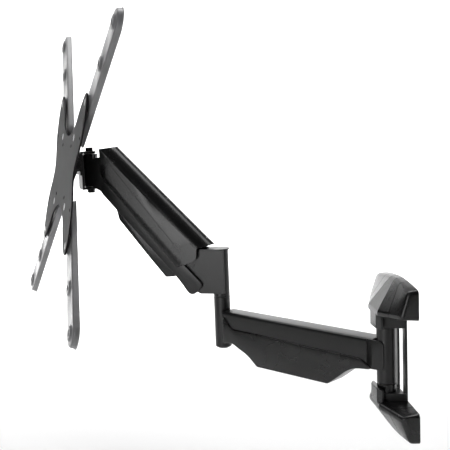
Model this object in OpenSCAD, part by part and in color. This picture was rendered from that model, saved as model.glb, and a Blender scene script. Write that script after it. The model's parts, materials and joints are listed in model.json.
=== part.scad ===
// Full motion wall mount for a flat panel screen, shown swung out and raised.
// Origin: middle of the wall bracket, on the wall. +Z is up, the room is on the -Y side.
// Headings are measured in plan from -X towards -Y.

/* [Pose at rest] */
// Heading of the lower arm
arm_heading = 39; // [5:1:175]
// Heading of the lifting arm
lift_heading = 69.5; // [30:0.5:120]
// Heading of the screen's facing direction
head_heading = 102; // [60:1:150]
// Backward lean of the screen plate
tilt_deg = 11.4; // [0:0.1:15]
// Height of the head pivot above the elbow pivot
lift_rise = 142; // [-100:1:145]

/* [Wall bracket] */
// Half width of the wall bracket covers
cover_half_w = 62; // [50:1:80]
// Half height of the wall bracket covers
cover_half_h = 98; // [90:1:120]
// Distance of the wall pivot from the wall
pivot_out = 21; // [19:0.5:30]
// Thickness of the wall plate
wall_plate_t = 3; // [2:0.5:5]

/* [Arms] */
// Distance between the wall pivot and the elbow pivot
arm_len = 285; // [200:5:350]
// Radius of the pivot tubes
tube_r = 12; // [10:0.5:15]
// Half width of the lower arm beam
beam_half_w = 14; // [12:0.5:20]
// Distance between the pivots of the lifting links
link_len = 189.2; // [150:0.1:220]
// Height between the upper and the lower link pivots
link_gap = 42; // [36:1:60]

/* [Screen plate] */
// Hole spacing of the large pattern
vesa_large = 400; // [400:100:600]
// Hole spacing of the middle pattern
vesa_middle = 300; // [300:100:400]
// Hole spacing of the small pattern
vesa_small = 75; // [75:25:100]
// Thickness of the screen plate
plate_t = 2.6; // [2:0.2:4]
// Half width of the extension arms
ext_r = 20.5; // [18:0.5:26]

/* [Hidden] */
$fn = 64;
part_gap = 0.3;     // air between pieces that move past each other
run_gap = 0.05;     // radial clearance of a running fit
eps = 0.01;
wall_axis = [0, -pivot_out, 0];
ear_low = -47;      // top face of the lower ear
ear_high = 36.5;    // bottom face of the upper ear
ear_h = 18;
ear_boss_r = 13;
ear_half_w = 20;
ear_floor_t = 5;
ear_rim_t = 3;
pin_r = 6;
bush_r = 9;
beam_top = 20;
beam_low = -19;
elbow_top = 39.7;   // top of the elbow tube on the lower arm
elbow_low = -35;
shaft_r = 7;
column_low = 45.2;  // underside of the elbow bracket
column_top = 109.6;
link_root_s = 40;   // distance of the link pivots from the elbow axis
link_root_z = 102;  // height of the upper link pivot at the elbow
anchor_drop = 14;   // spring anchor below the upper link pivot
head_out = 30.5;    // swivel axis beyond the head pivots
pitch = asin(lift_rise / link_len);
link_reach = link_len * cos(pitch);
head_s = link_root_s + link_reach + head_out;
head_z = link_root_z + lift_rise;
cheek_in = 10.5;    // inside of the bracket cheeks
cheek_out = 13.5;
link_in = 14.5;     // inside of the link side plates
link_out = 16.5;
spring_slope = 3.9;
spring_head_u = 165;
spring_len = 175.8;
stub_r = 4;
case_r = 22;        // half width of the upper casing
case_t = 2.5;
low_v = -link_gap * cos(pitch);
low_u = -link_gap * sin(pitch);
yoke_top = 258.2;
yoke_t = 3;
block_low = 206;
block_high = 254;
block_shoulder = 246.5; // top of the head bracket's wide part, clear of the casing when the arm is low
block_r = 10;
bolt_r = 4;
yoke_front = 15.5;  // front of the yoke's web, ahead of the swivel axis
level_z = 241;
tilt_x = 25;        // tilt axis ahead of the swivel axis
tilt_z = 240;
tilt_d = 10.5;      // tilt axis behind the plane of the boss tops
tilt_q = 11.3;      // tilt axis above the middle of the screen plate
ext_face = 2.5;     // depth of the extension arms' face behind the boss tops
ext_back = 11;
ext_root = 58;      // start of each extension arm along both plate directions

// ---------- frames ----------

module in_arm() {
    translate(wall_axis) rotate([0, 0, 180 + arm_heading]) children();
}

module in_lift() {
    in_arm() translate([arm_len, 0, 0]) rotate([0, 0, lift_heading - arm_heading]) children();
}

// Link frame: x from the elbow pivot to the head pivot, z square to it, y sideways
module in_link() {
    in_lift() translate([link_root_s, 0, link_root_z]) rotate([0, -pitch, 0]) children();
}

// Head frame: x towards the screen, z up, origin on the swivel axis
module in_head() {
    in_lift() translate([head_s, 0, 0]) rotate([0, 0, head_heading - lift_heading]) children();
}

// Plate frame: x sideways, y up the plate, z towards the screen
module in_plate() {
    in_head() translate([tilt_x, 0, tilt_z]) rotate([0, -tilt_deg, 0])
        translate([tilt_d, 0, -tilt_q]) rotate([90, 0, 90]) children();
}

// ---------- helpers ----------

// Extrudes a profile drawn in (x, z) symmetrically to both sides of y = 0
module side_slab(half_w) {
    translate([0, half_w, 0]) rotate([90, 0, 0]) linear_extrude(2 * half_w) children();
}

module ring(outer, inner, low, high) {
    difference() {
        translate([0, 0, low]) cylinder(r = outer, h = high - low);
        translate([0, 0, low - 1]) cylinder(r = inner, h = high - low + 2);
    }
}

module cross_pin(r, half_len) {
    rotate([90, 0, 0]) translate([0, 0, -half_len]) cylinder(r = r, h = 2 * half_len);
}

// One plate on each side, from y = near to y = far
module both_sides(near, far) {
    for (side = [-1, 1])
        translate([0, side * (near + far) / 2, 0]) side_slab((far - near) / 2) children();
}

// ---------- wall bracket ----------

pad_half_w = 58;
pad_low = 58.5;
pad_high = 88;
lower_drop = 3;     // the lower cover and its pad sit this much lower
rail_in = 10;
wall_hole_x = 45;
wall_hole_z = 72;
wall_hole_r = 4.5;

module wall_plate() {
    color("dimgray") difference() {
        rotate([90, 0, 0]) linear_extrude(wall_plate_t) {
            for (low = [pad_low, -pad_high - lower_drop])
                translate([-pad_half_w, low]) square([2 * pad_half_w, pad_high - pad_low]);
            for (left = [-ear_half_w, rail_in])
                translate([left, -pad_low - lower_drop - 1])
                    square([ear_half_w - rail_in, 2 * pad_low + lower_drop + 2]);
        }
        for (x = [-1, 1], z = [-1, 1])
            translate([x * wall_hole_x, 1, z * wall_hole_z]) rotate([90, 0, 0])
                cylinder(r = wall_hole_r, h = wall_plate_t + 2);
    }
}

// A pressed ear: a floor with the pin hole and a rim on the far side of it
module ear(rim_up) {
    difference() {
        translate([0, -wall_plate_t, 0]) linear_extrude(ear_h) ear_outline(ear_half_w, ear_boss_r);
        translate([0, -wall_plate_t, rim_up ? ear_floor_t : -1]) linear_extrude(ear_h - ear_floor_t + 1)
            ear_outline(ear_half_w - ear_rim_t, ear_boss_r - ear_rim_t);
        translate([0, -pivot_out, -1]) cylinder(r = pin_r, h = ear_h + 2);
    }
}

// Straight flanks from the wall plate, tangent to a round boss about the wall pivot
module ear_outline(half_w, boss_r) {
    reach = pivot_out - wall_plate_t;
    steps = 20;
    first = atan2(half_w, reach) + acos(boss_r / norm([half_w, reach]));
    polygon(concat([[-half_w, 0], [half_w, 0]],
        [for (i = [0 : steps]) let (turn = first + i / steps * (360 - 2 * first))
            [boss_r * sin(turn), boss_r * cos(turn) - reach]]));
}

module upper_ear() {
    color("dimgray") translate([0, 0, ear_high]) ear(true);
}

module lower_ear() {
    color("dimgray") translate([0, 0, ear_low - ear_h]) ear(false);
}

// Outer corners of a cover, drawn for the upper one; grow moves the faces in or out
function cover_points(grow) = [
    for (side = [-1, 1]) each [
        [side * (8 + grow), -11 - grow, cover_half_h + grow],
        [side * (8 + grow), 1, cover_half_h + grow],
        [side * (cover_half_w + grow), -13 - grow, cover_half_h - 6 + grow],
        [side * (cover_half_w + 2 + grow), 1, cover_half_h - 5 + grow],
        [side * (20 + grow), -38 - grow, 60],
        [side * (20 + grow), -37 - grow, 53 - grow],
        [side * (cover_half_w + grow), -23 - grow, 61],
        [side * (cover_half_w + 2 + grow), 1, 55.5 - grow]]];

module cover_block(grow) {
    hull() for (p = cover_points(grow)) translate(p) cube(0.02, center = true);
}

// A cover with a tongue in front of the ear; the ear's end lies at ear_end
module cover(ear_end) {
    wall_t = 2.4;
    tongue_low = 37;
    tongue_high = 56;
    ear_front = pivot_out + ear_boss_r + 0.5;
    rail_end = pad_low + 1.5;
    difference() {
        cover_block(0);
        cover_block(-wall_t);
        translate([-80, 0, 0]) cube([160, 10, 120]);
        // opening over the ear and the ends of the rails
        translate([-ear_half_w - 1, -ear_front, tongue_low])
            cube([2 * ear_half_w + 2, ear_front + 5, max(ear_end + 1, rail_end) - tongue_low]);
    }
    translate([0, 0, tongue_low]) linear_extrude(tongue_high - tongue_low)
        polygon([[-20.5, -33.4], [-12, -37.4], [12, -37.4], [20.5, -33.4],
            [20.5, -30.8], [11.4, -35], [-11.4, -35], [-20.5, -30.8]]);
}

module upper_cover() {
    color("lightgray") cover(ear_high + ear_h);
}

module lower_cover() {
    color("lightgray") translate([0, 0, -lower_drop]) mirror([0, 0, 1])
        cover(ear_h - ear_low - lower_drop);
}

module wall_pivot_bolt() {
    color("silver") translate(wall_axis) {
        translate([0, 0, ear_low - 10]) cylinder(r = pin_r, h = ear_high - ear_low + 22);
        translate([0, 0, ear_low - 11]) cylinder(r = 9, h = 6, $fn = 6);
    }
}

module wall_pivot_nut() {
    color("silver") translate(wall_axis) difference() {
        translate([0, 0, ear_high + 5]) cylinder(r = 9, h = 6, $fn = 6);
        translate([0, 0, ear_high]) cylinder(r = pin_r, h = 12);
    }
}

module wall_collar() {
    color("black") translate(wall_axis) ring(tube_r, pin_r, ear_low, -37.2);
}

// ---------- lower arm ----------

module wall_tube() {
    color("dimgray") translate(wall_axis) ring(tube_r, bush_r, -36, 35.6);
}

module wall_bushes() {
    color("white") translate(wall_axis) {
        ring(bush_r, pin_r + run_gap, -36.9, -14);
        ring(bush_r, pin_r + run_gap, 14, 36.2);
    }
}

module arm_beam() {
    tail = 5;
    side_end = arm_len - 13;
    color("dimgray") in_arm() difference() {
        union() {
            // side plates hug the wall tube
            both_sides(tube_r, beam_half_w)
                polygon([[-tail, beam_low + 5], [-tail, beam_top - 6], [-tail + 2, beam_top - 2],
                    [-tail + 6, beam_top], [side_end, beam_top], [side_end, beam_low],
                    [-tail + 5, beam_low]]);
            // top and bottom walls
            for (low = [beam_top - 2, beam_low])
                translate([8, -beam_half_w, low]) cube([side_end - 8, 2 * beam_half_w, 2]);
            // saddle welded to the elbow tube
            translate([side_end - 6, -10, beam_low + 2]) cube([18, 20, beam_top - beam_low - 4]);
        }
        translate([0, 0, -60]) cylinder(r = tube_r, h = 120);
        translate([arm_len, 0, -60]) cylinder(r = tube_r, h = 120);
    }
}

// Underside of the cable cover, shifted up by lift for its inside
function cover_profile(lift) = [
    [30, -7], [119, -6], [199, -3.5], [253, -3], [269.5, 14], [271, -27 + lift],
    [254, -24 + lift], [240, -30.5 + lift], [226, -36 + lift], [215, -44 + lift], [206.5, -51 + lift],
    [82, -51 + lift], [67.5, -40.5 + lift], [51, -27.5 + lift], [37, -21.3 + lift], [8, -19 + lift]];

module arm_cable_cover() {
    inner = beam_half_w + 0.1;
    color("dimgray") in_arm() difference() {
        side_slab(beam_half_w + 2) polygon(cover_profile(0));
        side_slab(inner) polygon([for (p = cover_profile(2)) [p[0], p[1] > -15 ? p[1] + 40 : p[1]]]);
        translate([0, -inner, beam_low]) cube([280, 2 * inner, 60]);
    }
}

module elbow_tube() {
    color("dimgray") in_arm() translate([arm_len, 0, 0]) ring(tube_r, shaft_r, elbow_low, elbow_top);
}

module elbow_shaft() {
    color("silver") in_arm() translate([arm_len, 0, elbow_low])
        cylinder(r = shaft_r, h = column_top - elbow_low - 0.6);
}

// Shallow domed cap under the elbow tube
module elbow_bottom_cap() {
    dome_r = 18;
    dome_h = 5;
    color("black") in_arm() translate([arm_len, 0, elbow_low]) rotate_extrude() intersection() {
        translate([0, dome_r - dome_h + 0.2]) circle(r = dome_r);
        translate([0, -dome_h]) square([tube_r, dome_h]);
    }
}

// ---------- elbow bracket ----------

module elbow_ring() {
    color("black") in_lift() ring(tube_r, shaft_r + run_gap, elbow_top + 0.1, column_low);
}

module cheek_profile() {
    difference() {
        union() {
            translate([-8, column_low]) square([36, column_top - column_low]);
            translate([link_root_s, link_root_z]) circle(r = 8);
            translate([link_root_s, link_root_z - link_gap]) circle(r = 9);
            polygon([[20, column_top], [30, column_top], [link_root_s, link_root_z + 8],
                [link_root_s + 8, link_root_z], [link_root_s + 9, link_root_z - link_gap],
                [link_root_s, link_root_z - link_gap - 9],
                [28, column_low], [20, column_low]]);
        }
        translate([link_root_s, link_root_z]) circle(r = stub_r);
        translate([link_root_s, link_root_z - anchor_drop]) circle(r = stub_r);
        translate([link_root_s, link_root_z - link_gap]) circle(r = stub_r);
    }
}

module elbow_bracket() {
    color("dimgray") in_lift() difference() {
        union() {
            both_sides(cheek_in, cheek_out) cheek_profile();
            translate([0, 0, column_low]) cylinder(r = tube_r, h = column_top - column_low);
            translate([0, -cheek_in - 1, column_low]) cube([28, 2 * cheek_in + 2, 3]);
        }
        translate([0, 0, column_low - 1]) cylinder(r = bush_r, h = column_top - column_low + 2);
    }
}

module elbow_bushes() {
    color("white") in_lift() {
        ring(bush_r, shaft_r + run_gap, column_low, column_low + 20);
        ring(bush_r, shaft_r + run_gap, column_top - 20, column_top);
    }
}

module elbow_top_plate() {
    color("gray") in_lift() translate([0, 0, column_top]) linear_extrude(1.6) {
        circle(r = beam_half_w);
        translate([0, -beam_half_w]) square([28, 2 * beam_half_w]);
    }
}

// Shoulder bolts on both sides, through a link plate and a bracket cheek
module stub_bolts() {
    for (side = [-1, 1]) rotate([side * 90, 0, 0]) {
        translate([0, 0, cheek_in - 1.5]) cylinder(r = stub_r, h = link_out - cheek_in + 1.7);
        translate([0, 0, link_out + 0.2]) cylinder(r = 6.5, h = 2.2);
    }
}

module elbow_link_bolts() {
    color("silver") in_lift() for (drop = [0, link_gap])
        translate([link_root_s, 0, link_root_z - drop]) stub_bolts();
}

module link_washers() {
    for (side = [-1, 1]) rotate([side * 90, 0, 0])
        ring(7, stub_r, cheek_out, link_in - 0.1);
}

module elbow_link_washers() {
    color("white") in_lift() for (drop = [0, link_gap])
        translate([link_root_s, 0, link_root_z - drop]) link_washers();
}

module spring_anchor_bolt() {
    color("silver") in_lift() translate([link_root_s, 0, link_root_z - anchor_drop])
        cross_pin(stub_r, cheek_out);
}

// ---------- upper link, casing and spring ----------

module upper_link() {
    web_low = 9;
    web_t = 2;
    color("dimgray") in_link() difference() {
        union() {
            both_sides(link_in, link_out) union() {
                translate([0, -9]) square([link_len, web_low + web_t + 9]);
                circle(r = 9);
                translate([link_len, 0]) circle(r = 9);
            }
            translate([5, -link_out, web_low]) cube([link_len - 10, 2 * link_out, web_t]);
        }
        for (u = [0, link_len]) translate([u, 0, 0]) cross_pin(stub_r + run_gap, 30);
        translate([spring_head_u, 0, 0]) cross_pin(stub_r, 30);
    }
}

// Side view of the casing in the link frame
case_back = [-12.7, 39.5];
case_nose = [207, 6.7];
case_chin = [175.9, -21];
case_profile = [case_back, [184.9, 32.7], [189.6, 30.8], case_nose, case_chin,
    [2.7, -27], [0.7, -24.8], [-8.4, -2.2], [-8.7, 3.8], [-6.4, 7.9], [2.5, 15.5]];
crown_drop = 2.9;   // slope of the casing's rounded top
crown_mid = 12.2;   // height of the rounding's centre at the elbow end

// Cross-section of the casing, drawn looking along the link
module case_section(r, low) {
    circle(r = r);
    translate([-r, low]) square([2 * r, -low]);
}

module case_shell(r, low) {
    translate([-20, 0, crown_mid]) rotate([0, crown_drop, 0]) rotate([90, 0, 90])
        linear_extrude(250) case_section(r, low);
}

module upper_casing() {
    panel_low = -6.5;
    panel_high = 12.5;
    color("dimgray") in_link() difference() {
        intersection() {
            case_shell(case_r, -60);
            side_slab(case_r + 1) polygon(case_profile);
        }
        case_shell(case_r - case_t, -70);
        // shallow recess along both sides
        for (side = [-1, 1]) translate([0, side * case_r, 0]) side_slab(0.8)
            polygon([[14.6, panel_high], [21, panel_low], [188, panel_low + 10], [197, panel_high - 6]]);
    }
}

module in_spring() {
    in_link() translate([spring_head_u, 0, 0]) rotate([0, 180 - spring_slope, 0]) children();
}

spring_r = 9;
spring_rod_r = 4;
spring_body = 112;

module spring_cylinder() {
    color("black") in_spring() difference() {
        union() {
            translate([10, 0, 0]) rotate([0, 90, 0]) cylinder(r = spring_r, h = spring_body - 10);
            cross_pin(spring_r - 1, 6);
            translate([0, -6, -5]) cube([12, 12, 10]);
        }
        cross_pin(stub_r, 20);
        translate([20, 0, 0]) rotate([0, 90, 0]) cylinder(r = spring_rod_r + run_gap, h = spring_body);
    }
}

module spring_head_pin() {
    color("silver") in_link() translate([spring_head_u, 0, 0]) cross_pin(stub_r, link_out);
}

module spring_rod() {
    slot_half = 3.4;
    slot_r = stub_r + 0.9;
    eye_r = 7.2;
    color("silver") in_spring() {
        translate([spring_body - 25, 0, 0]) rotate([0, 90, 0])
            cylinder(r = spring_rod_r, h = spring_len - spring_body + 25 - 6);
        translate([spring_len, 0, 0]) difference() {
            union() {
                for (end = [-1, 1]) translate([0, 0, end * slot_half]) cross_pin(eye_r, 4);
                translate([-eye_r, -4, -slot_half]) cube([2 * eye_r, 8, 2 * slot_half]);
            }
            for (end = [-1, 1]) translate([0, 0, end * slot_half]) cross_pin(slot_r, 5);
            translate([-slot_r, -5, -slot_half]) cube([2 * slot_r, 10, 2 * slot_half]);
        }
    }
}

// ---------- lower link ----------

module in_low_link() {
    in_link() translate([low_u, 0, low_v]) children();
}

module lower_link() {
    half_h = 9;
    color("dimgray") in_low_link() difference() {
        union() {
            both_sides(link_in, link_out) union() {
                translate([0, -half_h]) square([link_len, 2 * half_h]);
                circle(r = 12);
                translate([link_len, 0]) circle(r = half_h);
            }
            translate([16, -link_out, -half_h]) cube([link_len - 32, 2 * link_out, 2]);
        }
        for (u = [0, link_len]) translate([u, 0, 0]) cross_pin(stub_r + run_gap, 30);
    }
}

function bulge_profile(lift) = [
    [26, -3], [150, -3], [157, -9 + lift / 2], [143.5, -16.4 + lift], [69.5, -20.8 + lift],
    [34, -22.2 + lift], [25.5, -11.2 + lift / 2]];

bulge_inside = [for (p = bulge_profile(2)) [p[0] + (p[0] < 30 ? 2 : p[0] > 145 ? -2 : 0), p[1]]];

module link_cable_cover() {
    color("dimgray") in_low_link() difference() {
        side_slab(link_out + 1.8) polygon(bulge_profile(0));
        side_slab(link_out + 0.1) polygon(bulge_inside);
        translate([0, -link_out - 0.1, -9]) cube([link_len, 2 * link_out + 0.2, 40]);
    }
}

// ---------- head bracket ----------

module head_cheek() {
    head_root = link_root_s + link_reach;
    difference() {
        union() {
            translate([head_root, head_z]) circle(r = 8);
            translate([head_root, head_z - link_gap]) circle(r = 8);
            polygon([[head_root, head_z + 8], [head_s - 8, block_shoulder], [head_s - 8, block_low],
                [head_root + 3, head_z - link_gap - 7.4], [head_root - 8, head_z - link_gap],
                [head_root - 8, head_z]]);
        }
        for (drop = [0, link_gap]) translate([head_root, head_z - drop]) circle(r = stub_r);
    }
}

module head_bracket() {
    color("dimgray") in_lift() difference() {
        union() {
            both_sides(cheek_in, cheek_out) head_cheek();
            translate([head_s - 20, -cheek_out, block_low])
                cube([12, 2 * cheek_out, block_shoulder - block_low]);
            translate([head_s - 9, -block_r, block_low]) cube([9, 2 * block_r, block_high - block_low]);
            translate([head_s, 0, block_low]) cylinder(r = block_r, h = block_high - block_low);
        }
        translate([head_s, 0, block_low - 1]) cylinder(r = bolt_r + run_gap, h = block_high - block_low + 2);
    }
}

module head_link_bolts() {
    color("silver") in_lift() for (drop = [0, link_gap])
        translate([link_root_s + link_reach, 0, head_z - drop]) stub_bolts();
}

module head_link_washers() {
    color("white") in_lift() for (drop = [0, link_gap])
        translate([link_root_s + link_reach, 0, head_z - drop]) link_washers();
}

// ---------- swivel yoke ----------

yoke_low = 201.8;
yoke_half_w = 16;
level_r = 3;

module yoke_leg(low) {
    translate([0, 0, low]) linear_extrude(yoke_t) difference() {
        union() {
            circle(r = block_r);
            translate([0, -block_r]) square([yoke_front - 1, 2 * block_r]);
            polygon([[3, -block_r], [yoke_front - 1, -yoke_half_w], [yoke_front - 1, yoke_half_w],
                [3, block_r]]);
        }
        circle(r = bolt_r);
    }
}

module swivel_yoke() {
    color("dimgray") in_head() {
        yoke_leg(yoke_low);
        yoke_leg(yoke_top - yoke_t);
        difference() {
            translate([yoke_front - yoke_t, -yoke_half_w, yoke_low])
                cube([yoke_t, 2 * yoke_half_w, yoke_top - yoke_low]);
            translate([yoke_front - yoke_t - 1, 0, level_z]) rotate([0, 90, 0])
                cylinder(r = level_r, h = yoke_t + 2);
        }
    }
}

module swivel_bolt() {
    color("silver") in_head() {
        translate([0, 0, yoke_low - 6]) cylinder(r = bolt_r, h = yoke_top - yoke_low + 7);
        translate([0, 0, yoke_top]) cylinder(r = 5.5, h = 5.6);
    }
}

module swivel_nut() {
    color("silver") in_head() difference() {
        translate([0, 0, yoke_low - 5.6]) cylinder(r = 6, h = 5.6, $fn = 6);
        translate([0, 0, yoke_low - 7]) cylinder(r = bolt_r, h = 9);
    }
}

module swivel_washers() {
    color("white") in_head() {
        ring(8, bolt_r, yoke_low + yoke_t, block_low - run_gap);
        ring(8, bolt_r, block_high + run_gap, yoke_top - yoke_t);
    }
}

base_t = 3;

module level_bolt() {
    color("silver") in_head() translate([0, 0, level_z]) rotate([0, 90, 0]) {
        translate([0, 0, yoke_front - yoke_t - 1.9]) cylinder(r = 5.3, h = 1.9);
        translate([0, 0, yoke_front - yoke_t - 1]) cylinder(r = level_r, h = yoke_t + base_t + 1.2);
        translate([0, 0, yoke_front + base_t + 0.2]) cylinder(r = 5, h = 1.4);
    }
}

// ---------- tilt hinge ----------

hinge_in = 17;
hinge_out = 20;

module tilt_base() {
    color("dimgray") in_head() difference() {
        union() {
            translate([yoke_front + 0.1, -hinge_out, 224]) cube([base_t, 2 * hinge_out, 33]);
            both_sides(hinge_in, hinge_out) union() {
                translate([yoke_front + 0.1, 230]) square([tilt_x - yoke_front, 20]);
                translate([tilt_x, tilt_z]) circle(r = 7);
            }
        }
        translate([tilt_x, 0, tilt_z]) cross_pin(stub_r, 30);
        translate([yoke_front - 1, 0, level_z]) rotate([0, 90, 0])
            cylinder(r = level_r + run_gap, h = base_t + 2);
    }
}

module tilt_bolt() {
    color("silver") in_head() translate([tilt_x, 0, tilt_z]) rotate([90, 0, 0]) {
        translate([0, 0, -32]) cylinder(r = stub_r, h = 58);
        translate([0, 0, 23.8]) cylinder(r = 6.5, h = 4);
    }
}

module tilt_nut() {
    color("silver") in_head() translate([tilt_x, 0, tilt_z]) rotate([90, 0, 0]) difference() {
        translate([0, 0, -29.8]) cylinder(r = 7.2, h = 6, $fn = 6);
        translate([0, 0, -31]) cylinder(r = stub_r, h = 9);
    }
}

// Two angle brackets on the back of the screen plate
module tilt_brackets() {
    inner = hinge_out + part_gap;
    color("dimgray") in_plate() for (side = [-1, 1]) scale([side, 1, 1]) difference() {
        union() {
            translate([inner, -32, -3]) cube([24, 64, 3]);
            translate([inner, 0, 0]) rotate([90, 0, 90]) linear_extrude(3) {
                polygon([[-32, 0], [-32, -7], [tilt_q - 8, -tilt_d - 4], [tilt_q + 8, -tilt_d - 4],
                    [28, -7], [32, 0]]);
                translate([tilt_q, -tilt_d]) circle(r = 9);
            }
        }
        translate([inner - 1, tilt_q, -tilt_d]) rotate([0, 90, 0]) cylinder(r = stub_r + run_gap, h = 6);
    }
}

// ---------- screen plate ----------

screw_r = 4.5;
small_r = 2.6;
ext_bolt_r = 3;
ext_bolt_at = [50, 100];    // along both plate directions
sink_r = 5.6;               // recesses that keep the bolt heads below the plate's face
sink_depth = 1.4;

// One quarter of the plate's outline, from its side to its top
plate_corner = [[84, 0], [94, 22], [108, 40], [114, 58], [116, 78], [115, 96], [108, 111], [100, 114],
    [89, 108], [76, 97], [64, 86], [52, 70], [39, 62], [22, 54], [0, 51]];
plate_half = concat(plate_corner,
    [for (i = [len(plate_corner) - 2 : -1 : 0]) [-plate_corner[i][0], plate_corner[i][1]]]);
plate_outline = concat(plate_half,
    [for (i = [len(plate_half) - 2 : -1 : 1]) [plate_half[i][0], -plate_half[i][1]]]);

// Cuts every corner of a closed outline, which smooths it
function cut_corners(points) = [
    for (i = [0 : len(points) - 1]) let (here = points[i], next = points[(i + 1) % len(points)])
        each [0.75 * here + 0.25 * next, 0.25 * here + 0.75 * next]];

module vesa_plate() {
    color("gray") in_plate() difference() {
        linear_extrude(plate_t) polygon(cut_corners(cut_corners(plate_outline)));
        for (x = [-1, 1], y = [-1, 1]) {
            for (half = concat([vesa_small / 2], ext_bolt_at)) translate([x * half, y * half, -1])
                cylinder(r = half == vesa_small / 2 ? small_r : ext_bolt_r, h = 5);
            translate([x * 100, y * 50, -1]) cylinder(r = small_r, h = 5);
            for (half = ext_bolt_at) translate([x * half, y * half, plate_t - sink_depth])
                cylinder(r = sink_r, h = sink_depth + 1);
        }
    }
}

module stadium(r, from, to) {
    for (c = [from, to]) translate([c, 0]) circle(r = r);
    translate([from, -r]) square([to - from, 2 * r]);
}

boss_r = 9;

module extension_arm() {
    far = vesa_large / 2 * sqrt(2);
    middle = vesa_middle / 2 * sqrt(2);
    root = ext_root * sqrt(2);
    metal = 2;
    bosses = concat(ext_bolt_at * sqrt(2), [middle, far]);
    difference() {
        union() {
            translate([0, 0, -ext_back]) linear_extrude(ext_back - ext_face) stadium(ext_r, root, far);
            for (c = bosses) translate([c, 0, -ext_face - eps])
                cylinder(r1 = boss_r + 3, r2 = boss_r, h = ext_face + eps);
        }
        translate([0, 0, -ext_back - 1]) linear_extrude(ext_back - ext_face - metal + 1)
            stadium(ext_r - metal, root, far);
        for (c = bosses) {
            translate([c, 0, -ext_back]) cylinder(r = boss_r - 2, h = ext_back - metal);
            translate([c, 0, -ext_back]) cylinder(r = c > 150 ? screw_r : 3, h = ext_back + 1);
        }
    }
}

module extension_arms() {
    color("lightgray") in_plate() for (quarter = [0 : 3])
        rotate([0, 0, 45 + 90 * quarter]) extension_arm();
}

module extension_bolts() {
    head_r = 5.2;
    head_low = plate_t - sink_depth;
    color("silver") in_plate() for (quarter = [0 : 3], half = ext_bolt_at)
        rotate([0, 0, 45 + 90 * quarter]) translate([half * sqrt(2), 0, 0]) {
            translate([0, 0, -7]) cylinder(r = ext_bolt_r, h = 7 + head_low + 0.5);
            translate([0, 0, head_low]) cylinder(r = head_r, h = sink_depth - 0.1);
        }
}

module extension_nuts() {
    color("silver") in_plate() for (quarter = [0 : 3], half = ext_bolt_at)
        rotate([0, 0, 45 + 90 * quarter]) translate([half * sqrt(2), 0, -6]) difference() {
            cylinder(r = 5.5, h = 4, $fn = 6);
            translate([0, 0, -1]) cylinder(r = ext_bolt_r, h = 6);
        }
}

wall_plate();
upper_ear();
lower_ear();
upper_cover();
lower_cover();
wall_pivot_bolt();
wall_pivot_nut();
wall_collar();
wall_tube();
wall_bushes();
arm_beam();
arm_cable_cover();
elbow_tube();
elbow_shaft();
elbow_bottom_cap();
elbow_ring();
elbow_bracket();
elbow_bushes();
elbow_top_plate();
elbow_link_bolts();
elbow_link_washers();
spring_anchor_bolt();
upper_link();
upper_casing();
spring_cylinder();
spring_head_pin();
spring_rod();
lower_link();
link_cable_cover();
head_bracket();
head_link_bolts();
head_link_washers();
swivel_yoke();
swivel_bolt();
swivel_nut();
swivel_washers();
level_bolt();
tilt_base();
tilt_bolt();
tilt_nut();
tilt_brackets();
vesa_plate();
extension_arms();
extension_bolts();
extension_nuts();
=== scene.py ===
"""Looks of the full motion screen mount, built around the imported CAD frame. Lengths are in metres."""
import json
import math

import bmesh
import bpy
from mathutils import Matrix, Vector


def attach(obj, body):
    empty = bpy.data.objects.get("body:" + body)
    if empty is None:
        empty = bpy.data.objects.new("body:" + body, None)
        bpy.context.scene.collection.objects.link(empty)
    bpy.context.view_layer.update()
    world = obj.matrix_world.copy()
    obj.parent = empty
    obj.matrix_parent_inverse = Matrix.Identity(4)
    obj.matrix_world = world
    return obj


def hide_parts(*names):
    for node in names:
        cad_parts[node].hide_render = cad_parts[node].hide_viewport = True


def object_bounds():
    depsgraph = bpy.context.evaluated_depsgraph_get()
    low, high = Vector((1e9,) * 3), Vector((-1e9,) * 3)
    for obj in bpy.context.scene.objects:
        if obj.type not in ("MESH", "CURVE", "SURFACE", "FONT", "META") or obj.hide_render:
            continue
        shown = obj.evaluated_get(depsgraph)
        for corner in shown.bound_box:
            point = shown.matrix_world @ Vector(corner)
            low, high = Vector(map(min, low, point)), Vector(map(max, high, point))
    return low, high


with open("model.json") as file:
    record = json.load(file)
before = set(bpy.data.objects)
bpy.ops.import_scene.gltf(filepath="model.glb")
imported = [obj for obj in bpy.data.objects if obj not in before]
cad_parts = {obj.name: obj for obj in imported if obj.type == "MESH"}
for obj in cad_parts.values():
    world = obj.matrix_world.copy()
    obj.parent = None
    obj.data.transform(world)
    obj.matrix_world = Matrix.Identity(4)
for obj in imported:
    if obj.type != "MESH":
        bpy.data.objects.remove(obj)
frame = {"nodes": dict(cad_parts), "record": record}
cad_box = [list(corner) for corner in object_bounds()]

MM = 0.001
record = frame["record"]
joints = {joint["name"]: joint for joint in record["behaviour"]["joints"]}


# ---------- camera ----------

CAMERA_PLACE = Vector((1.0224, -0.3424, 0.3129))
CAMERA_AHEAD = Vector((-0.98390, 0.11935, -0.13304))
CAMERA_UP = Vector((-0.12723, 0.05509, 0.99034))
FOCAL_LENGTH = 69.14    # for a sensor 36 mm wide


def add_camera():
    """The camera stands where the photograph was taken from."""
    forward = CAMERA_AHEAD.normalized()
    right = forward.cross(CAMERA_UP).normalized()
    up = right.cross(forward)
    data = bpy.data.cameras.new("camera")
    data.sensor_width = 36
    data.lens = FOCAL_LENGTH
    data.dof.use_dof = False
    data.clip_start = 0.01
    camera = bpy.data.objects.new("camera", data)
    bpy.context.collection.objects.link(camera)
    turn = Matrix((right, up, -forward)).transposed()
    camera.matrix_world = Matrix.Translation(CAMERA_PLACE) @ turn.to_4x4()
    bpy.context.scene.camera = camera


# ---------- light and floor ----------

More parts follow.
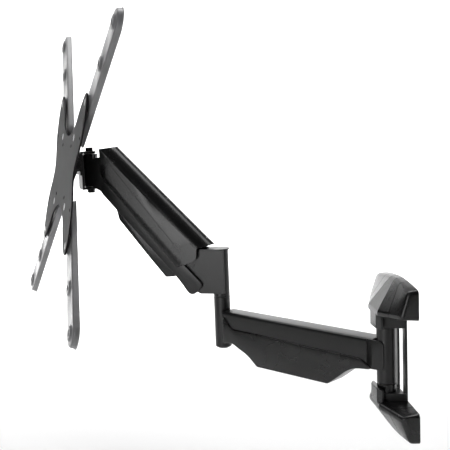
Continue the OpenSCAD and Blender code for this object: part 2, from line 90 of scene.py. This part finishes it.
ROOM_LIGHT = 0.05       # strength of the light from all round
MIDDLE = (-0.15, -0.22, 0.1)
# name, place, point it is aimed at, size, watts, beam angle in degrees
LAMPS = [
    ("key", (0.5, -1.6, 1.5), MIDDLE, (0.9, 0.9), 1.5, 180),
    ("top", (-0.3, -0.3, 1.9), MIDDLE, (1.4, 1.0), 7, 180),
    ("side", (0.9, 1.2, 0.9), MIDDLE, (0.3, 1.4), 2.0, 180),
    ("softbox", (1.15, -1.1, 0.15), (-0.1, -0.25, 0.12), (0.6, 0.9), 7, 180),
    ("backdrop_high", (-1.6, -0.2, 3.6), (-4.5, 0, 0.2), (6, 1.5), 300, 110),
    ("backdrop_low", (-1.4, -0.2, 2.6), (-2.0, 0, -1.2), (6, 1.5), 85, 125),
]


def add_lamp(name, place, aim, size, power, beam):
    """One rectangular area light."""
    data = bpy.data.lights.new(name, "AREA")
    data.shape = "RECTANGLE"
    data.size = size[0]
    data.size_y = size[1]
    data.energy = power
    data.spread = math.radians(beam)
    lamp = bpy.data.objects.new(name, data)
    bpy.context.collection.objects.link(lamp)
    lamp.location = place
    lamp.rotation_euler = (Vector(aim) - Vector(place)).to_track_quat("-Z", "Y").to_euler()


def add_studio():
    """A dim room with a bright backdrop: black parts stay black, and only glancing faces light up."""
    world = bpy.data.worlds.new("studio")
    bpy.context.scene.world = world
    world.use_nodes = True
    sky = world.node_tree.nodes["Background"]
    sky.inputs["Color"].default_value = (1, 1, 1, 1)
    sky.inputs["Strength"].default_value = ROOM_LIGHT
    for lamp in LAMPS:
        add_lamp(*lamp)


FLOOR_GAP = 0.12        # from the object's lowest point down to the floor
FLOOR_REACH = 6.0
FLOOR_BEND = 1.5        # radius of the bend between floor and backdrop
BEND_STEPS = 16


def add_floor():
    """A pale floor that curves up into a backdrop far behind the object."""
    mesh = bpy.data.meshes.new("floor")
    bm = bmesh.new()
    floor_z = cad_box[0][2] - FLOOR_GAP
    path = [(FLOOR_REACH, floor_z)]
    for i in range(BEND_STEPS + 1):
        angle = i / BEND_STEPS * math.pi / 2
        x = -FLOOR_REACH + FLOOR_BEND - FLOOR_BEND * math.sin(angle)
        path.append((x, floor_z + FLOOR_BEND - FLOOR_BEND * math.cos(angle)))
    path.append((-FLOOR_REACH, floor_z + FLOOR_REACH))
    rows = []
    for x, z in path:
        rows.append([bm.verts.new((x, y, z)) for y in (-FLOOR_REACH, FLOOR_REACH)])
    for a, b in zip(rows, rows[1:]):
        bm.faces.new((a[0], a[1], b[1], b[0]))
    bm.to_mesh(mesh)
    bm.free()
    for face in mesh.polygons:
        face.use_smooth = True
    floor = bpy.data.objects.new("floor", mesh)
    bpy.context.collection.objects.link(floor)
    paint = bpy.data.materials.new("floor_paint")
    paint.use_nodes = True
    shader = paint.node_tree.nodes["Principled BSDF"]
    shader.inputs["Base Color"].default_value = (0.93, 0.93, 0.93, 1)
    shader.inputs["Roughness"].default_value = 0.9
    mesh.materials.append(paint)


# ---------- frames, as in the CAD model ----------

def frame_at(origin, ahead, above):
    """A frame with x ahead and z above it, whose unit is one millimetre."""
    x = Vector(ahead).normalized()
    z = (Vector(above) - Vector(above).dot(x) * x).normalized()
    turn = Matrix((x, z.cross(x), z)).transposed().to_4x4()
    return Matrix.Translation(origin) @ turn @ Matrix.Scale(MM, 4)


UP = Vector((0, 0, 1))
wall_pivot = Vector(joints["wall_swivel"]["pos_m"])
elbow_pivot = Vector(joints["elbow_swivel"]["pos_m"])
link_root = Vector(joints["arm_lift"]["pos_m"])
link_head = Vector(joints["head_level"]["pos_m"])
mounts = {mount["name"]: mount for mount in record["mounts"]}
plate_normal = Vector(mounts["screen_holes_75"]["axis"])
PLATE_T = 2.6 * MM      # thickness of the screen plate
WALL = Matrix.Scale(MM, 4)
ARM = frame_at(wall_pivot, elbow_pivot - wall_pivot, UP)
LINK = frame_at(link_root, link_head - link_root, UP)
LOW_LINK = frame_at(Vector(joints["rail_lift"]["pos_m"]), link_head - link_root, UP)
# plate frame: x sideways, y up the plate, z towards the screen
sideways = UP.cross(plate_normal)
plate_middle = Vector(mounts["screen_holes_75"]["pos_m"]) - plate_normal * PLATE_T / 2
PLATE = frame_at(plate_middle, sideways, plate_normal)


# ---------- mesh building ----------

SAME_POINT = 0.002 * MM     # points nearer than this are merged


def add_piece(name, place, verts, faces, node, smooth_angle=35):
    """A mesh drawn in millimetres in a frame, which stands for a CAD node."""
    mesh = bpy.data.meshes.new(name)
    bm = bmesh.new()
    added = [bm.verts.new(place @ Vector(v)) for v in verts]
    for face in faces:
        bm.faces.new([added[i] for i in face])
    bmesh.ops.remove_doubles(bm, verts=bm.verts, dist=SAME_POINT)
    bmesh.ops.dissolve_degenerate(bm, edges=bm.edges, dist=SAME_POINT)
    bmesh.ops.recalc_face_normals(bm, faces=bm.faces)
    bm.to_mesh(mesh)
    bm.free()
    for face in mesh.polygons:
        face.use_smooth = True
    mesh.set_sharp_from_angle(angle=math.radians(smooth_angle))
    obj = bpy.data.objects.new(name, mesh)
    bpy.context.collection.objects.link(obj)
    mesh.materials.append(materials[slots[node]])
    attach(obj, body_of[node])
    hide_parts(node)
    return obj


def loft(rings, capped=True):
    """Points and faces of a skin over closed rings of points, with both ends capped or left open."""
    count = len(rings[0])
    verts = [point for ring in rings for point in ring]
    faces = []
    for row in range(len(rings) - 1):
        low = row * count
        high = low + count
        for i in range(count):
            j = (i + 1) % count
            faces.append((low + i, low + j, high + j, high + i))
    if capped:
        faces.append(tuple(range(count)))
        faces.append(tuple(reversed(range(len(verts) - count, len(verts)))))
    return verts, faces


def join(*shapes):
    """Several (points, faces) as one."""
    verts, faces = [], []
    for more_verts, more_faces in shapes:
        first = len(verts)
        verts += more_verts
        faces += [tuple(i + first for i in face) for face in more_faces]
    return verts, faces


def rounded(points, radius, steps=4):
    """A closed outline with its corners rounded; radius is one number or one for each corner."""
    out = []
    count = len(points)
    for i, corner in enumerate(points):
        corner = Vector(corner)
        wanted = radius[i] if isinstance(radius, (list, tuple)) else radius
        before = Vector(points[i - 1]) - corner
        after = Vector(points[(i + 1) % count]) - corner
        start = corner + before.normalized() * min(wanted, 0.45 * before.length)
        end = corner + after.normalized() * min(wanted, 0.45 * after.length)
        for k in range(steps + 1):
            t = k / steps
            out.append((1 - t) ** 2 * start + 2 * t * (1 - t) * corner + t * t * end)
    return out


def inset(points, amount):
    """A closed outline moved inwards by an amount, vertex by vertex; it runs anticlockwise."""
    out = []
    count = len(points)
    for i, point in enumerate(points):
        before = (point - points[i - 1]).normalized()
        after = (points[(i + 1) % count] - point).normalized()
        normal = Vector((-before[1] - after[1], before[0] + after[0]))
        if normal.length < 0.01:
            out.append(point.copy())
            continue
        normal.normalize()
        lean = max(0.5, normal.dot(Vector((-after[1], after[0]))))
        out.append(point + normal * amount / lean)
    return out


def round_slab(outline, low, high, edge, place, steps=3):
    """A slab with rounded edges: its outline in two coordinates, from low to high in the third."""
    levels = []
    for k in range(steps + 1):
        turn = (1 - k / steps) * math.pi / 2
        levels.append((edge * (1 - math.sin(turn)), edge * (1 - math.cos(turn))))
    rings = []
    for lift, back in levels:
        rings.append([place(a, b, low + lift) for a, b in inset(outline, back)])
    for lift, back in reversed(levels):
        rings.append([place(a, b, high - lift) for a, b in inset(outline, back)])
    return loft(rings)


def mix(a, b, t):
    return a + (b - a) * t


def along(table, at):
    """Straight-line interpolation in a list of (position, value)."""
    for (x0, y0), (x1, y1) in zip(table, table[1:]):
        if at <= x1:
            return mix(y0, y1, max(0.0, (at - x0) / (x1 - x0)))
    return table[-1][1]


# ---------- wall bracket covers ----------

COVER_TOP = 98          # height of the cover's top above the bracket's middle
COVER_HALF = 63.4       # half width
COVER_FALL = 6          # how much lower the top is at the ends
COVER_EDGE = 4.0        # rounding at the cover's ends
EDGE_STEPS = 5
GROOVES = [(8, 20), (27.5, 40)]     # each groove's x on the top edge and on the ridge
SHOULDER = (46, 51)     # the same two, where the cover's end begins to turn back
TOP_SPAN = 54           # how far past the first groove the top and the ridge change
RIDGE_SPAN = 42
TONGUE = (37, 57)       # lower and upper height of the tongue below the front
GROOVE_HALF = 0.5
GROOVE_DEPTH = 1.3
COVER_SMOOTH = 24       # edges sharper than this, in degrees, stay sharp
LOWER_DROP = 3          # the lower cover sits this much lower than the mirror of the upper one


def cover_stations():
    """Cross-sections from one end to the other: (x on the top edge, x on the ridge, pull inwards)."""
    half = [(0, 0, 0)]
    for top, ridge in GROOVES:
        half.append((top - GROOVE_HALF, ridge - GROOVE_HALF, 0))
        half.append((top, ridge, GROOVE_DEPTH))
        half.append((top + GROOVE_HALF, ridge + GROOVE_HALF, 0))
    half.append((*SHOULDER, 0))
    for k in range(EDGE_STEPS + 1):
        turn = k / EDGE_STEPS * math.pi / 2
        x = COVER_HALF - COVER_EDGE + COVER_EDGE * math.sin(turn)
        half.append((x, x, COVER_EDGE * (1 - math.cos(turn))))
    return [(-top, -ridge, pull) for top, ridge, pull in reversed(half[1:])] + half


def cover_section(top_x, ridge_x, pull):
    """One cross-section of a cover, as an outline of 3-D points."""
    groove_top, groove_ridge = GROOVES[0]
    top = max(0, abs(top_x) - groove_top) / TOP_SPAN
    side = max(0, abs(ridge_x) - groove_ridge) / RIDGE_SPAN
    fall = COVER_FALL * top ** 1.4
    corners = [
        (top_x, 0, COVER_TOP - 0.85 * fall),
        (top_x, mix(-11, -13, top), COVER_TOP - fall),
        (ridge_x, mix(-38, -22.6, side), mix(60, 62.5, side)),
        (ridge_x, mix(-37, -21, side), mix(53.5, 58, side)),
        (ridge_x, 0, mix(53, 55.5, side)),
    ]
    # the way each corner goes when the section is pulled in, and its rounding
    inward = [(0, 0, -1), (0, 0.7, -0.7), (0, 0.9, -0.4), (0, 1, 0.2), (0, 0, 1)]
    radii = [0.5, 5, 3, 2.5, 0.5]
    pulled = [Vector(corner) + Vector(way) * pull for corner, way in zip(corners, inward)]
    return rounded(pulled, radii)


def cover_shape():
    """One cover, with the tongue that hangs below its front."""
    body = loft([cover_section(*station) for station in cover_stations()])
    near = [(12 - GROOVE_HALF, -37.4), (12, -36.7), (12 + GROOVE_HALF, -37.2),
            (20.5, -33.4), (20.5, -30.8)]
    far = [(-x, y) for x, y in reversed(near)]
    front = [Vector(p) for p in near + far]
    tongue = round_slab(front, *TONGUE, 0.6, lambda x, y, z: (x, y, z))
    return join(body, tongue)


def add_covers():
    """Both covers: the lower one is the upper one turned over."""
    verts, faces = cover_shape()
    add_piece("upper_cover_shell", WALL, verts, faces, "upper_cover", COVER_SMOOTH)
    flipped = [(v[0], v[1], -v[2] - LOWER_DROP) for v in verts]
    add_piece("lower_cover_shell", WALL, flipped, faces, "lower_cover", COVER_SMOOTH)


# ---------- lifting arm casing ----------

CASE_WALL = 2.4         # thickness
CASE_HALF = 22          # half width at the side panels
CROWN_R = 21.4          # radius of the rounded top
CROWN_STEPS = 14
CROWN_DROP = 2.9        # slope of the top, in degrees
FACET_STEP = 0.75       # how far the facet lies behind the side panel
CASE_SMOOTH = 28        # edges sharper than this, in degrees, stay sharp
# outline of the casing seen from the side, as (height, position along the link)
BACK_EDGE = [(-27, 2.7), (-24.8, 0.7), (-2.2, -8.4), (3.8, -8.7), (7.9, -6.4), (15.5, 2.5), (39.5, -12.7)]
NOSE_EDGE = [(-27, 169.2), (-21, 175.9), (6.7, 207), (30.8, 189.6)]
# lower edge of the facet, as (position along the link, height)
FACET = [(14.6, 12.8), (21.1, -6.5), (188, 3.4), (197, 7.0)]


def crown_mid(u):
    """Height of the rounded top's axis."""
    return 12.8 - (u + 20) * math.tan(math.radians(CROWN_DROP))


def case_low(u):
    """Lower edge of the casing."""
    return along([(2.7, -27), (175.9, -21), (207, 6.6)], u)


def step_line(u):
    """Upper edge of the side panel."""
    return 13.6 - 0.033 * (u - 3)


def facet_line(u):
    """Lower edge of the facet in the side panel, which ends at a slanted edge near the elbow."""
    top = step_line(u) - 0.2
    if u < FACET[0][0] or u > FACET[-1][0]:
        return top
    return min(top, along(FACET, u))


def case_half(u, wall):
    """Side of the casing's cross-section from its lower edge to the crest, as (y, w)."""
    crown_r = CROWN_R - wall
    low = case_low(u)
    facet = facet_line(u)
    step = step_line(u)
    panel_y = CASE_HALF - wall
    facet_y = panel_y - (FACET_STEP if step - facet > 0.3 else 0.0)
    foot = min(low + 2.5, facet - 0.1)
    points = [(panel_y - 1.2, low), (panel_y, foot)]
    # a point at each height where the outline at the elbow turns
    points += [(panel_y, min(max(w, foot), facet)) for w in (-14, -2.2, 3.8, 7.9)]
    points.append((panel_y, facet))
    points += [(facet_y, facet + 0.15), (facet_y, step)]
    middle = crown_mid(u)
    first = math.asin(min(0.9, max(-0.2, (step + 0.4 - middle) / crown_r)))
    for k in range(CROWN_STEPS + 1):
        turn = mix(first, math.pi / 2, k / CROWN_STEPS)
        points.append((crown_r * math.cos(turn), middle + crown_r * math.sin(turn)))
    return points


def case_ring(u):
    """The cross-section at u, outside and back along the inside, bent to the slanted ends."""
    ring = []
    for wall in (0, CASE_WALL):
        half = case_half(u, wall)
        other = [(-y, w) for y, w in reversed(half[:-1])]
        loop = half + other
        ring += loop if wall == 0 else list(reversed(loop))
    placed = []
    for y, w in ring:
        at = max(along(BACK_EDGE, w), min(along(NOSE_EDGE, w), u))
        placed.append((at, y, w))
    return placed


def add_casing():
    """The casing over the lifting link, open below."""
    stations = [-20, 2.7, 14.4, 14.8, 18, 21.1, 21.6, 60, 100,
                140, 170, 182, 188, 192, 197, 202, 206.9, 230]
    verts, faces = loft([case_ring(u) for u in stations])
    add_piece("casing_shell", LINK, verts, faces, "upper_casing", CASE_SMOOTH)


# ---------- cable cover of the lower arm ----------

def add_cable_cover():
    """The cable cover under the beam, which follows its lower edge and drops in the middle."""
    outline = [(30, -7), (119, -6), (199, -3.5), (253, -3), (269.5, 14), (271, -27),
               (254, -24), (240, -30.5), (226, -36), (215, -44), (206.5, -51),
               (82, -51), (67.5, -40.5), (51, -27.5), (37, -21.3), (8, -19)]
    outline = [Vector(p) for p in reversed(outline)]
    radii = [20, 14, 10, 8, 2.5, 2.5, 8, 10, 12, 6, 2, 4, 6, 4, 4, 4]
    outline = rounded(outline, radii)
    verts, faces = round_slab(outline, -16, 16, 1.4, lambda s, z, y: (s, y, z))
    add_piece("cable_cover_shell", ARM, verts, faces, "arm_cable_cover")


# ---------- lower arm beam ----------

def add_beam():
    """A rounded box beam whose side plates hug the wall tube."""
    half_w, low, high = 14, -19, 20
    start, end, chamfer = 12.2, 273, 0.8
    cheek_t = 2
    section = [Vector(p) for p in ((-half_w, low), (half_w, low), (half_w, high), (-half_w, high))]
    section = rounded(section, 4.5, steps=5)
    ends = ((start, 0), (end - chamfer, 0), (end, chamfer))
    body = loft([[(s, y, z) for y, z in inset(section, back)] for s, back in ends])
    block = [(-10, -17), (-10, 17), (10, 17), (10, -17)]
    saddle = loft([[(s, y, z) for y, z in block] for s in (272, 277)])
    cheek = [Vector(p) for p in ((-5, low + 1), (20, low), (20, high), (-5, high - 1))]
    cheek = rounded(cheek, [5, 0.2, 0.2, 7])
    sides = []
    for near in (half_w - cheek_t, -half_w):
        sides.append(round_slab(cheek, near, near + cheek_t, 0.7, lambda s, z, y: (s, y, z)))
    verts, faces = join(body, saddle, *sides)
    add_piece("beam_body", ARM, verts, faces, "arm_beam")


# ---------- lower link ----------

LINK_SIDE = 19.2        # half width outside the side plates
LINK_INSIDE = 14.5      # half width between them


def add_lower_link():
    """Side plates that hide the pivot bolts, a web between them, and the cable cover below."""
    def place(u, w, y):
        return (u, y, w)

    plate = [(-13.5, -14), (16, -9.3), (189, -9), (198, -6), (198, 8), (0, 12.5), (-13.5, 12.5)]
    plate = rounded([Vector(p) for p in plate], [13, 20, 6, 6, 6, 8, 12])
    web = [Vector(p) for p in ((16, -9), (173, -9), (173, -7), (16, -7))]
    plate_t = LINK_SIDE - LINK_INSIDE
    shapes = [round_slab(plate, low, low + plate_t, 0.9, place) for low in (LINK_INSIDE, -LINK_SIDE)]
    shapes.append(round_slab(web, -LINK_INSIDE - 0.1, LINK_INSIDE + 0.1, 0.1, place))
    verts, faces = join(*shapes)
    add_piece("link_sides", LOW_LINK, verts, faces, "lower_link")
    bulge = [(26, -3), (25.5, -11.2), (34, -22.2), (69.5, -20.8), (143.5, -16.4), (157, -9), (150, -3)]
    bulge = rounded([Vector(p) for p in bulge], 1.5)
    verts, faces = round_slab(bulge, 0.4 - LINK_SIDE, LINK_SIDE - 0.4, 1.2, place)
    add_piece("link_trough", LOW_LINK, verts, faces, "link_cable_cover")


# ---------- extension arms ----------

FACE_HALF = 15          # half width of an arm's flat face
FACE_TOP = -2.5         # height of the face, measured from the top of the bosses
FACE_UNDER = -4.4
EXT_ROOT = 58 * math.sqrt(2)
BOSSES = [half * math.sqrt(2) for half in (50, 100, 150, 200)]
BOSS_STEPS = 40
BOLT_HOLE_R = 3
SCREEN_HOLE_R = 4.5
EXT_TIP = BOSSES[-1]
# (half width, height) down the outside of the pressed rim and back up its inside
RIM = [(15, -2.5), (16.8, -2.8), (18.0, -3.9), (18.4, -5.2), (18.8, -8.4), (19.3, -10.0), (20.4, -10.6),
       (20.5, -11.0), (19.6, -11.0), (17.8, -10.2), (17.0, -8.6), (16.6, -5.6), (16.0, -4.7), (15, -4.4)]


def stadium(half, z, steps=12):
    """The long round-ended outline of an arm."""
    ring = []
    for middle, first in ((EXT_TIP, -math.pi / 2), (EXT_ROOT, math.pi / 2)):
        for k in range(steps + 1):
            turn = first + k / steps * math.pi
            ring.append((middle + half * math.cos(turn), half * math.sin(turn), z))
    return ring


def reach(middle, start, end, turn):
    """How far a ray from a boss runs to the edge of its patch; start or end is None at a round end."""
    cos, sin = math.cos(turn), math.sin(turn)
    hits = [FACE_HALF / abs(sin)] if abs(sin) > 1e-6 else []
    limit = end if cos > 0 else start
    if limit is not None and abs(cos) > 1e-6:
        hits.append((limit - middle) / cos)
    far = min(hits) if hits else FACE_HALF * 4
    for centre, open_end in ((EXT_ROOT, start is None and cos < 0.99), (EXT_TIP, end is None)):
        x = middle + far * cos
        outside = x < centre if centre == EXT_ROOT else x > centre
        if open_end and outside:
            gap = centre - middle
            far = gap * cos + math.sqrt(FACE_HALF ** 2 - (gap * sin) ** 2)
    return far


def boss_patch(middle, start, end, hole):
    """The face round one boss: from the patch's edge over the boss, through its hole and back below."""
    turns = [2 * math.pi * k / BOSS_STEPS for k in range(BOSS_STEPS)]
    for limit in (start, end):
        x = EXT_ROOT if limit is None and start is None else limit
        if x is not None:
            turns += [math.atan2(side * FACE_HALF, x - middle) % (2 * math.pi) for side in (-1, 1)]
    turns = sorted(set(round(turn, 6) for turn in turns))
    profile = [(12, FACE_TOP), (11.2, -2.1), (9.8, -0.4), (9.0, 0), (hole + 0.5, 0), (hole, -0.4),
               (hole, -2.0), (7.4, -2.0), (8.4, FACE_UNDER)]
    edge = [reach(middle, start, end, turn) for turn in turns]

    def ring(radii, z):
        return [(middle + r * math.cos(t), r * math.sin(t), z) for r, t in zip(radii, turns)]

    rings = [ring(edge, FACE_TOP)]
    rings += [ring([r] * len(turns), z) for r, z in profile]
    rings.append(ring(edge, FACE_UNDER))
    return loft(rings, capped=False)


def add_extension_arms():
    """Pressed arms with a rounded rim and a raised boss at each hole."""
    shapes = [loft([stadium(half, z) for half, z in RIM], capped=False)]
    cuts = [None] + [(a + b) / 2 for a, b in zip(BOSSES, BOSSES[1:])] + [None]
    for i, middle in enumerate(BOSSES):
        hole = BOLT_HOLE_R if i < 2 else SCREEN_HOLE_R
        shapes.append(boss_patch(middle, cuts[i], cuts[i + 1], hole))
    verts, faces = join(*shapes)
    quarters = []
    for quarter in range(4):
        turn = Matrix.Rotation(math.radians(45 + 90 * quarter), 3, "Z")
        quarters.append(([tuple(turn @ Vector(v)) for v in verts], faces))
    verts, faces = join(*quarters)
    add_piece("pressed_arms", PLATE, verts, faces, "extension_arms")


# ---------- materials ----------

def new_material(name):
    """A material with its nodes and links."""
    paint = bpy.data.materials.new(name)
    paint.use_nodes = True
    return paint, paint.node_tree.nodes, paint.node_tree.links


def add_noise(nodes, links, coords, scale, detail=3.0):
    noise = nodes.new("ShaderNodeTexNoise")
    noise.inputs["Scale"].default_value = scale
    noise.inputs["Detail"].default_value = detail
    links.new(coords, noise.inputs["Vector"])
    return noise.outputs["Fac"]


EDGE_RADIUS = 0.0009    # how far wear reaches in from an edge
CLOUD_SCALE = 26        # size of the slow changes in sheen
SHEEN_CHANGE = 0.04
WORN_GAIN = 5           # a rubbed edge is this much lighter


def ramp(nodes, links, value, low, high, low_colour, high_colour):
    band = nodes.new("ShaderNodeValToRGB")
    band.color_ramp.elements[0].position = low
    band.color_ramp.elements[0].color = (*low_colour, 1)
    band.color_ramp.elements[1].position = high
    band.color_ramp.elements[1].color = (*high_colour, 1)
    links.new(value, band.inputs["Fac"])
    return band.outputs["Color"]


def spread(nodes, links, value, low, high):
    """Maps 0..1 to low..high."""
    remap = nodes.new("ShaderNodeMapRange")
    remap.inputs["To Min"].default_value = low
    remap.inputs["To Max"].default_value = high
    links.new(value, remap.inputs["Value"])
    return remap.outputs["Result"]


def edge_mask(nodes, links, radius):
    """1 on sharp edges, 0 on flats, from how far a rounded normal leaves the true one."""
    soft = nodes.new("ShaderNodeBevel")
    soft.inputs["Radius"].default_value = radius
    soft.samples = 4
    true = nodes.new("ShaderNodeNewGeometry")
    match = nodes.new("ShaderNodeVectorMath")
    match.operation = "DOT_PRODUCT"
    links.new(soft.outputs["Normal"], match.inputs[0])
    links.new(true.outputs["Normal"], match.inputs[1])
    mask = nodes.new("ShaderNodeMapRange")
    mask.inputs["From Min"].default_value = 0.995
    mask.inputs["From Max"].default_value = 0.90
    links.new(match.outputs["Value"], mask.inputs["Value"])
    return mask.outputs["Result"]


def coated(name, dark, light, rough, grain_scale, grain_depth, wear=0.25, metallic=0.0, coat=0.0,
           shine=0.5):
    """Paint, powder coat or moulded plastic: fine grain, cloudy sheen and slightly rubbed edges."""
    paint, nodes, links = new_material(name)
    shader = nodes["Principled BSDF"]
    coords = nodes.new("ShaderNodeTexCoord").outputs["Object"]
    cloud = add_noise(nodes, links, coords, CLOUD_SCALE, 4)
    grain = add_noise(nodes, links, coords, grain_scale, 2)
    base = ramp(nodes, links, cloud, 0.3, 0.7, dark, light)
    rub = nodes.new("ShaderNodeMath")
    rub.operation = "MULTIPLY"
    links.new(edge_mask(nodes, links, EDGE_RADIUS), rub.inputs[0])
    links.new(spread(nodes, links, cloud, 0.0, 2 * wear), rub.inputs[1])
    worn = nodes.new("ShaderNodeMix")
    worn.data_type = "RGBA"
    links.new(rub.outputs["Value"], worn.inputs["Factor"])
    links.new(base, worn.inputs["A"])
    worn.inputs["B"].default_value = (*[min(1, WORN_GAIN * c) for c in light], 1)
    links.new(worn.outputs["Result"], shader.inputs["Base Color"])
    sheen = spread(nodes, links, cloud, rough - SHEEN_CHANGE, rough + SHEEN_CHANGE)
    links.new(sheen, shader.inputs["Roughness"])
    bump = nodes.new("ShaderNodeBump")
    bump.inputs["Strength"].default_value = 0.2
    bump.inputs["Distance"].default_value = grain_depth
    links.new(grain, bump.inputs["Height"])
    links.new(bump.outputs["Normal"], shader.inputs["Normal"])
    shader.inputs["Metallic"].default_value = metallic
    shader.inputs["Specular IOR Level"].default_value = shine
    if coat:
        shader.inputs["Coat Weight"].default_value = coat
        shader.inputs["Coat Roughness"].default_value = 0.25
    return paint


def black(name, shade, rough, grain_scale, grain_depth, **more):
    """A black coating whose colour drifts a little lighter and bluer."""
    light = shade * 1.4
    colours = (shade,) * 3, (light, light, light * 1.05)
    return coated(name, *colours, rough, grain_scale, grain_depth, **more)


def make_materials():
    """One material for each slot in the record."""
    return {
        "black_powder_coat": black("black_powder_coat", 0.0045, 0.34, 2600, 0.00004),
        "black_satin_coat": black("black_satin_coat", 0.014, 0.46, 2200, 0.00004, shine=0.05),
        "grey_satin_coat": black("grey_satin_coat", 0.15, 0.34, 2200, 0.00004, coat=0.3),
        "black_plastic": black("black_plastic", 0.0045, 0.27, 1800, 0.00004),
        "nylon": coated("nylon", (0.66, 0.64, 0.58), (0.74, 0.72, 0.66), 0.5, 900, 0.00004, wear=0),
        "black_zinc_steel": black("black_zinc_steel", 0.018, 0.28, 3000, 0.00002, metallic=0.6),
        "gas_cylinder_paint": black("gas_cylinder_paint", 0.010, 0.25, 900, 0.00002),
        "polished_rod": coated("polished_rod", (0.62, 0.62, 0.64), (0.70, 0.70, 0.72), 0.16, 4000, 0.00001,
                               wear=0, metallic=1.0),
    }


def soften(obj, width, segments=2, angle=35):
    """Rounds the sharp edges of a piece with modifiers, and keeps its flats flat."""
    weld = obj.modifiers.new("weld", "WELD")
    weld.merge_threshold = 0.01 * MM
    bevel = obj.modifiers.new("bevel", "BEVEL")
    bevel.width = width
    bevel.segments = segments
    bevel.limit_method = "ANGLE"
    bevel.angle_limit = math.radians(angle)
    normals = obj.modifiers.new("normals", "WEIGHTED_NORMAL")
    normals.keep_sharp = True


def dress_cad_nodes(materials):
    """Gives every CAD node its material and a small rounding on its sharp edges."""
    for name, obj in frame["nodes"].items():
        for slot in obj.material_slots:
            slot.material = materials[slots[name]]
        soften(obj, 0.4 * MM)


bpy.context.scene.view_settings.view_transform = "Standard"
slots = {part["node"]: part["material_slot"] for part in record["subparts"]}
body_of = {node: body for body, nodes in record["behaviour"]["bodies"].items() for node in nodes}
add_camera()
add_studio()
add_floor()
materials = make_materials()
dress_cad_nodes(materials)
add_covers()
add_casing()
add_cable_cover()
add_beam()
add_lower_link()
add_extension_arms()
